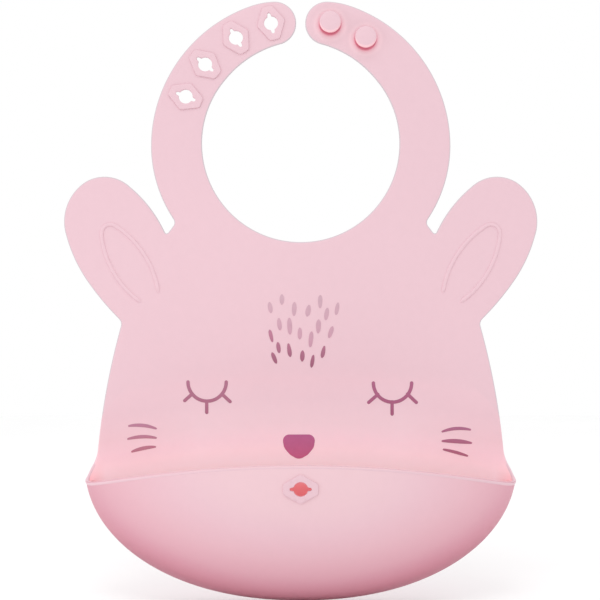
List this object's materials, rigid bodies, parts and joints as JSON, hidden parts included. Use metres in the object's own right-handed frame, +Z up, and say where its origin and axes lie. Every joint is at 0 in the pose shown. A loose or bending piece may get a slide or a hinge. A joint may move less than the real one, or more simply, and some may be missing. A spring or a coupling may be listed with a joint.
{
  "type": "silicone bib",
  "caption": "Flat silicone baby bib with a buttoned round collar, rabbit ears, a printed sleeping face and an open catch pocket standing out at the bottom.",
  "frame": {"origin": "centre of the neck opening, in the middle of the sheet's thickness", "axes": "+Z up towards the collar's ends, front of the bib towards -Y, +X to the right seen from the front"},
  "size_m": [0.2368, 0.0378, 0.2993],
  "materials": {
    "silicone": "satin silicone",
    "nose_ink": "matt ink",
    "eye_ink": "matt ink",
    "whisker_ink": "matt ink",
    "pale_fleck_ink": "matt ink",
    "dark_fleck_ink": "matt ink"
  },
  "bodies": {
    "bib_front": {"bib_panel": "silicone", "left_ear_line_root": "silicone", "right_ear_line_root": "silicone", "left_eye_print": "eye_ink", "right_eye_print": "eye_ink", "forehead_fleck_print_light": "pale_fleck_ink", "forehead_fleck_print_dark": "dark_fleck_ink"},
    "left_strap_base": {"left_strap": "silicone"},
    "left_strap_tip": {"left_strap_end": "silicone", "slot_pad_1": "silicone", "slot_pad_2": "silicone", "slot_pad_3": "silicone", "slot_pad_4": "silicone"},
    "right_strap_base": {"right_strap": "silicone"},
    "right_strap_tip": {"right_strap_end": "silicone", "stud_outer": "silicone", "stud_inner": "silicone"},
    "left_ear_flap": {"left_ear": "silicone", "left_ear_line": "silicone"},
    "right_ear_flap": {"right_ear": "silicone", "right_ear_line": "silicone"},
    "pocket": {"pocket_back": "silicone", "pocket_gusset": "silicone", "rim_corner_left": "silicone", "rim_corner_right": "silicone", "nose_print": "nose_ink", "left_whisker_print": "whisker_ink", "right_whisker_print": "whisker_ink"},
    "pocket_lip": {"pocket_front": "silicone", "pocket_rim": "silicone", "pocket_slot_pad": "silicone"}
  },
  "joints": [
    {"name": "left_strap_bend", "type": "hinge", "parent": "bib_front", "child": "left_strap_base", "pos_m": [-0.056, 0, -0.025], "axis": [-1, 0, 0], "range_deg": [-15, 55], "stiffness_Nm_per_rad": 0.05},
    {"name": "left_strap_curl", "type": "hinge", "parent": "left_strap_base", "child": "left_strap_tip", "pos_m": [-0.062, 0, 0.003], "axis": [-1, 0, 0], "range_deg": [-15, 50], "stiffness_Nm_per_rad": 0.05},
    {"name": "right_strap_bend", "type": "hinge", "parent": "bib_front", "child": "right_strap_base", "pos_m": [0.056, 0, -0.025], "axis": [-1, 0, 0], "range_deg": [-15, 55], "stiffness_Nm_per_rad": 0.05},
    {"name": "right_strap_curl", "type": "hinge", "parent": "right_strap_base", "child": "right_strap_tip", "pos_m": [0.062, 0, 0.003], "axis": [-1, 0, 0], "range_deg": [-15, 50], "stiffness_Nm_per_rad": 0.05},
    {"name": "left_ear_flop", "type": "hinge", "parent": "bib_front", "child": "left_ear_flap", "pos_m": [-0.07443, 0, -0.04206], "axis": [0.4546, 0, 0.8907], "range_deg": [-45, 60], "stiffness_Nm_per_rad": 0.05},
    {"name": "right_ear_flop", "type": "hinge", "parent": "bib_front", "child": "right_ear_flap", "pos_m": [0.07443, 0, -0.04206], "axis": [0.4546, 0, -0.8907], "range_deg": [-45, 60], "stiffness_Nm_per_rad": 0.05},
    {"name": "pocket_tilt", "type": "hinge", "parent": "bib_front", "child": "pocket", "pos_m": [0, 0, -0.138], "axis": [-1, 0, 0], "range_deg": [-30, 60], "stiffness_Nm_per_rad": 1},
    {"name": "pocket_lip_flex", "type": "hinge", "parent": "pocket", "child": "pocket_lip", "pos_m": [0, -0.0103, -0.2254], "axis": [1, 0, 0], "range_deg": [0, 14], "stiffness_Nm_per_rad": 1.5}
  ]
}
